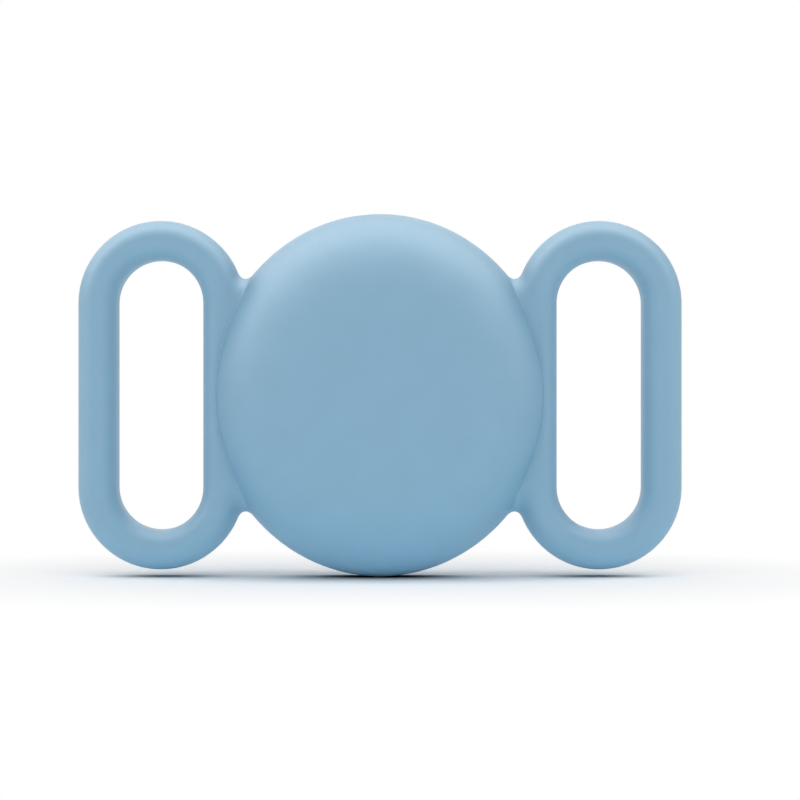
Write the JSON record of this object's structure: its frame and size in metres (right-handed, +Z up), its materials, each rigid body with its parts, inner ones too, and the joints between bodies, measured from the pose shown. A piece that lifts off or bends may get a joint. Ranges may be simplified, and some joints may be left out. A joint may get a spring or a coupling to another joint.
{
  "type": "tracker tag holder",
  "caption": "Soft slide-on strap holder for a round tracker tag: a domed oval pocket with a strap loop on each side, open at the back behind a stretchy lip.",
  "frame": {"origin": "on the axis of the round pocket, in the plane of the holder's flat back, where the strap passes behind it", "axes": "+X along the strap, +Z up across the strap as pictured, +Y out of the back; the domed front looks along -Y"},
  "size_m": [0.0624, 0.0105, 0.0374],
  "materials": {
    "silicone": "matt moulded silicone",
    "white_plastic": "polished moulded plastic",
    "cover_steel": "polished stainless steel, finely scratched",
    "cell_steel": "nickel-plated steel",
    "tin_plate": "tin-plated sheet",
    "magnet": "plated magnet",
    "copper": "bare copper",
    "contact_gold": "gold-plated spring sheet",
    "board": "solder-masked laminate",
    "chip": "moulded epoxy",
    "board_part": "sintered ceramic",
    "gasket": "black rubber",
    "pellet": "pressed powder"
  },
  "bodies": {
    "holder": {"holder_body": "silicone", "retaining_lip": "silicone"},
    "tag": {"front_shell": "white_plastic", "inner_carrier": "white_plastic", "antenna_ring": "copper", "circuit_board": "board", "shield_can": "tin_plate", "processor_chip": "chip", "radio_chip": "chip", "motion_sensor": "chip", "board_parts": "board_part", "magnet_cup": "tin_plate", "speaker_magnet": "magnet", "voice_coil": "copper", "negative_contact": "contact_gold", "positive_contacts": "contact_gold", "cell_can": "cell_steel", "cell_gasket": "gasket", "cell_cap": "cell_steel", "cell_core": "pellet"},
    "cover": {"battery_cover": "cover_steel", "latch_ring": "white_plastic", "cover_seal": "gasket"}
  },
  "joints": [
    {"name": "tag_slide", "type": "slide", "parent": "holder", "child": "tag", "axis": [0, 1, 0], "range_m": [0, 0.012], "deforming": ["retaining_lip"]},
    {"name": "cover_turn", "type": "hinge", "parent": "tag", "child": "cover", "pos_m": [0, -0.001, 0], "axis": [0, 1, 0], "range_deg": [0, 20]}
  ]
}
